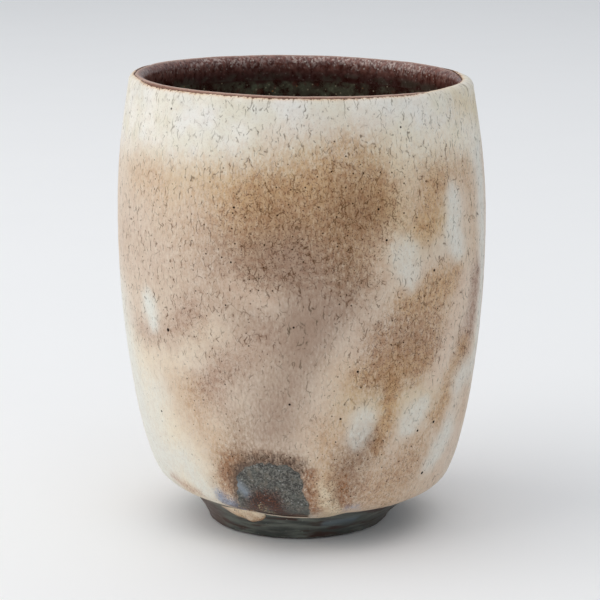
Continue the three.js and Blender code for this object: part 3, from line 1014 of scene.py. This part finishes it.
def crackle(f, flat, size, upright, reach, gap, level_cracks):
    """Fine broken cracks, mostly upright: sides of tall cells on a wandering place, kept in short runs."""
    tall = f.stretched(f.warped(flat, 1.8, reach), (1.0, upright, 1.0))
    line = f.cells(size, "DISTANCE_TO_EDGE", tall, voronoi_dimensions="2D").outputs["Distance"]
    centre = f.cells(size, "F1", tall, voronoi_dimensions="2D").outputs["Position"]
    off = f.add("SeparateXYZ", {0: f.vector("ABSOLUTE", f.vector("SUBTRACT", tall, centre))})
    beside = f.math("SUBTRACT", off.outputs["X"], f.times(off.outputs["Y"], 0.8))
    side = f.step(beside, -0.15 * size, 0.1 * size, level_cracks, 1.0)
    run = f.step(f.noise(0.9 * size, 2.0, f.stretched(flat, (1.0, 0.75, 1.0))), gap, gap + 0.1)
    depth = f.step(f.noise(2.6, 2.0, flat), 0.3, 0.7, 0.4, 1.0)
    width = f.times(depth, CRACK_WIDTH / size)
    mark = f.add("MapRange", {"Value": line, "From Min": width, "From Max": 0.0}).outputs["Result"]
    return f.times(mark, run, side, depth)


def browned_share(f):
    """How brown the slip is, apart from its white spots."""
    browned = f.math("ADD", "ochre", "pink")
    for name in ("brown", "rust", "soot"):
        browned = f.math("ADD", browned, name, clamp=True)
    return f.times(browned, f.math("SUBTRACT", 1.0, "white"))


def pepper_slip(f, flat, browned):
    """Blotches, grains and dots, denser where the slip is brown. Gives the grains and the dark dots."""
    blotch = f.times(f.step(f.noise(1.2, 3.0), 0.4, 0.66), f.step(browned, 0.0, 0.9, 0.10, 0.40))
    f.lay(blotch, "#c9a283", blend="MULTIPLY")
    grains = f.step(f.noise(0.32, roughness=0.65), 0.54, 0.68)
    grains = f.times(grains, f.step(browned, 0.15, 1.0, 0.12, 0.78))
    f.lay(grains, "#836249", blend="MULTIPLY")
    f.lay(f.times(f.dots(0.9, 0.6, 0.22, flat), f.step(browned, 0.1, 0.9, 0.10, 0.55)), "#5a3a22")
    dark_dot = f.times(f.dots(2.8, 0.6, 0.085, flat), f.step(browned, 0.0, 0.6, 0.4, 0.95))
    f.lay(dark_dot, "#33200f")
    f.lay(f.times(f.dots(0.5, 0.8, 0.5), "soot"), "#2b221d")
    return grains, dark_dot


def crack_slip(f, flat, browned):
    """Two sizes of upright cracks all over and a net of them in the brown places. Gives their share."""
    coarse = crackle(f, flat, 2.2, 0.6, 1.0, 0.48, 0.22)
    fine = crackle(f, flat, 1.3, 0.5, 0.9, 0.5, 0.15)
    net = f.times(crackle(f, flat, 1.8, 0.85, 1.3, 0.47, 0.9), f.step(browned, 0.3, 0.9, 0.0, 0.85))
    crack = f.times(f.most(coarse, fine, net), "crackle")
    f.lay(crack, f.mix(f.step(browned, 0.0, 0.35), "#5f5444", "#482a12"), 0.95)
    return crack


def thin_edges(f):
    """A dark line of painted shade round the finger mark, and ochre, brown and dark brown along the upper
    edge.
    """
    f.lay("rim", "#43332b", 0.55)
    f.lay(f.step("edge", 0.04, 0.9), "#dfae78", 0.62)
    edge = f.grainy("edge", f.noise(0.6), 1.5)
    f.lay(f.step(edge, 0.4, 0.75), "#b67a45", 0.5)
    f.lay(f.step(edge, 0.6, 0.82), "#46240f", 0.95)


def speck_slip(f):
    """The larger iron specks. Gives their share."""
    spots = []
    for angle, height, radius in IRON_SPECKS:
        centre = on_clay(angle, CLAY.station_of(height), SLIP_THICKNESS)
        away = f.vector("DISTANCE", f.place, tuple(centre), output="Value")
        spots.append(f.step(away, radius * 1.1, radius * 0.6))
    speck = f.most(*spots)
    f.lay(speck, "#20130b")
    return speck


def slip_finish():
    f = Finish("white_slip")
    flat = f.unrolled()
    upright = f.stretched(f.place, (1.0, 1.0, 0.42))
    grain = f.noise(0.42, 2.0, upright)
    mottle = f.noise(1.6, 3.0, upright)
    f.shade = f.mix(f.step(f.noise(6.0), 0.35, 0.7), "#f0ece1", "#e6e1cf")
    f.lay(f.step(f.noise(8.0), 0.48, 0.66), "#e9ebed", 0.32)
    for name, tint, graininess in PIGMENTS:
        f.lay(f.grainy(name, grain, graininess), tint)
    browned = browned_share(f)
    pepper, dark_dot = pepper_slip(f, flat, browned)
    crack = crack_slip(f, flat, browned)
    thin_edges(f)
    unglazed = f.most(speck_slip(f), crack, dark_dot)
    f.set(Specular_IOR_Level=f.step(unglazed, 0.0, 0.5, 0.42, 0.05))
    relief = f.total((grain, 0.35), (mottle, 0.5), (crack, -0.35), (pepper, -0.3))
    return f.finished(f.step(mottle, 0.2, 0.8, 0.42, 0.6), relief, 0.5, 0.12)


def mark_finish():
    f = Finish("finger_mark", Specular_IOR_Level=0.45)
    clump = f.noise(0.36, 3.0, roughness=0.6)
    f.shade = f.mix(f.step(clump, 0.34, 0.68), "#2a2a26", "#84827a")
    f.lay(f.step(f.noise(2.4), 0.45, 0.65), "#5c605a", 0.55)
    f.lay(f.step(f.noise(0.8), 0.46, 0.66), "#2a2723", 0.6)
    f.lay(f.step(f.noise(1.5), 0.52, 0.7), "#7b7264", 0.5)
    f.lay("blue", "#8b97a2", 0.8)
    rusty = f.mix(f.step(clump, 0.42, 0.66), "#240c05", "#6b3c24")
    f.lay(f.grainy("iron", f.noise(0.5), 1.6), rusty)
    f.lay(f.dots(0.75, 0.4, 0.34), "#b7b8b6", 0.45)
    f.lay(f.times(f.dots(0.5, 0.8, 0.6), "pale"), "#d8c99c")
    flecks = f.step(f.grainy("flecks", f.noise(0.55), 2.2), 0.35, 0.6)
    f.lay(flecks, f.mix(f.step(clump, 0.4, 0.6), "#9a6a42", "#d6bd95"))
    return f.finished(f.step(clump, 0.3, 0.7, 0.36, 0.55), clump, 0.6, 0.2)


def lip_finish():
    f = Finish("iron_lip", Specular_IOR_Level=0.5)
    upright = f.stretched(f.place, (1.0, 1.0, 0.7))
    streak = f.noise(0.9, 3.0, upright)
    f.shade = f.mix(f.step(streak, 0.35, 0.7), "#52271e", "#7d4b3e")
    veil = f.step(f.noise(0.5, 3.0, upright, 0.6), 0.42, 0.66)
    patchy = f.step(f.noise(2.4), 0.38, 0.58, 0.3, 1.0)
    f.lay(f.times(veil, "veil", patchy), "#cbb7af", 0.8)
    # The paler crest: rubbed glaze and a painted highlight.
    f.lay("worn", "#c9a692", 0.85)
    f.lay(f.grainy("outer", f.noise(0.5), 1.8), "#7c4f38", 0.9)
    f.lay("low", "#30100b", 0.9)
    green = f.times(f.step(f.noise(2.6, 3.0), 0.44, 0.6), f.step("low", 0.6, 1.0))
    f.lay(green, "#4f4e42", 0.45)
    f.lay(f.times(f.dots(0.7, 0.5, 0.38), f.step("veil", 0.0, 1.0, 0.12, 0.9)), "#c9bdb2")
    return f.finished(f.step(streak, 0.3, 0.7, 0.26, 0.42), streak, 0.4, 0.15)


def inside_finish():
    f = Finish("inner_glaze", Specular_IOR_Level=0.5)
    patch = f.noise(3.2, 5.0, roughness=0.66)
    thick = f.step(f.noise(10.0), 0.36, 0.62, 0.45, 1.0)
    green = f.times(f.step(patch, 0.4, 0.66), thick, "mottled")
    f.shade = f.mix(green, "#2f130d", "#5b5f4b")
    f.lay(f.times(f.step(f.noise(0.45), 0.5, 0.7), green), "#7a7763", 0.6)
    f.lay(f.step(f.noise(2.2, 3.0), 0.58, 0.75), "#4f2a20")
    f.lay("upper", "#351711")
    f.lay(f.dots(1.0, 0.45, 0.3), "#a39a80", 0.65)
    f.lay(f.dots(1.3, 0.25, 0.22), "#a86f3e", 0.8)
    return f.finished(f.step(patch, 0.3, 0.7, 0.22, 0.36), patch, 0.35, 0.25)


def foot_finish():
    f = Finish("foot_glaze", Specular_IOR_Level=0.45)
    level = f.stretched(f.place, (0.3, 0.3, 1.6))
    streak = f.noise(1.6, 4.0, level)
    f.shade = f.mix(f.step(streak, 0.35, 0.68), "#3b3f3a", "#6a6e66")
    f.lay(f.step(f.noise(2.2, 3.0, level), 0.52, 0.64), "#3a241b")
    f.lay("left", "#54392f", 0.7)
    f.lay("right", "#3a2e28", 0.5)
    f.lay("blue", "#66757f", 0.7)
    f.lay("pale", "#8c8878", 0.6)
    # The glaze's brown and painted shade under the slip's lower edge.
    f.lay("groove", "#3d2419", 0.8)
    # Painted shadow where the foot meets the table.
    f.lay("low_edge", "#241b18", 0.8)
    f.lay(f.dots(0.8, 0.25, 0.3), "#8d9087", 0.5)
    return f.finished(f.step(streak, 0.3, 0.7, 0.36, 0.55), streak, 0.5, 0.2)


def clay_finish(name, dark, light):
    f = Finish(name, Specular_IOR_Level=0.3)
    body = f.noise(1.1, 4.0)
    rings = f.noise(0.7, 2.0, f.stretched(f.place, (0.12, 0.12, 1.6)))
    f.shade = f.mix(f.step(body, 0.3, 0.7), dark, light)
    f.lay(f.dots(0.9, 0.4, 0.35), "#2c211b", 0.6)
    f.lay(f.dots(1.3, 0.25, 0.3), "#a8988a", 0.6)
    return f.finished(f.step(body, 0.3, 0.7, 0.75, 0.92), f.total((body, 0.6), (rings, 0.5)), 0.6, 0.2)


SLIP = slip_finish()
clay_wall(clay_finish("stoneware", "#43342b", "#5f4c3f"))
# The foot ring's clay is darker than the wall's, as painted shade along its bottom edge at the table.
foot(clay_finish("foot_clay", "#3a2e27", "#5a493d"))
slip_coat(SLIP)
finger_mark(mark_finish())
lip(lip_finish())
inside_glaze(inside_finish())
foot_coat(foot_finish())
slip_roll(SLIP)


# Room, in metres: a pale floor, soft light from the upper left and the photograph's camera

def floor_plane():
    mesh = bpy.data.meshes.new("floor")
    corners = [(-ROOM_HALF, -ROOM_HALF, 0), (ROOM_HALF, -ROOM_HALF, 0),
               (ROOM_HALF, ROOM_HALF, 0), (-ROOM_HALF, ROOM_HALF, 0)]
    mesh.from_pydata(corners, [], [(0, 1, 2, 3)])
    made = add_object("floor", mesh)
    f = Finish("paper", Specular_IOR_Level=0.2, Roughness=0.85)
    f.set(Base_Color=f.mix(f.noise(40.0, 3.0), "#f9fafa", "#fbfcfc"))
    mesh.materials.append(f.material)


def soft_light(name, place, side, watts, tint):
    """A square lamp that faces the middle of the cup."""
    data = bpy.data.lights.new(name, "AREA")
    data.size = side
    data.energy = watts
    data.color = colour(tint)[:3]
    lamp = add_object(name, data)
    lamp.location = place
    lamp.rotation_euler = (Vector(CUP_MIDDLE) - Vector(place)).to_track_quat("-Z", "Y").to_euler()


def surroundings():
    world = bpy.data.worlds.new("room")
    world.use_nodes = True
    background = world.node_tree.nodes["Background"]
    background.inputs["Color"].default_value = colour("#e4e7ec")
    background.inputs["Strength"].default_value = 0.62
    bpy.context.scene.world = world
    soft_light("key", (-0.95, -0.15, 0.70), 1.3, 6.6, "#fffaf4")
    soft_light("top_front", (-0.15, -0.60, 1.20), 1.6, 2.8, "#fbfcff")
    soft_light("top_back", (0.10, 0.20, 1.30), 1.6, 3.7, "#fbfcff")


def camera():
    data = bpy.data.cameras.new("camera")
    data.sensor_width = 36.0
    data.lens = 134.7
    made = add_object("camera", data)
    made.location = CAMERA_PLACE
    made.rotation_euler = (math.radians(CAMERA_TILT), 0, 0)
    bpy.context.scene.camera = made


floor_plane()
surroundings()
camera()
bpy.context.scene.view_settings.view_transform = "Standard"
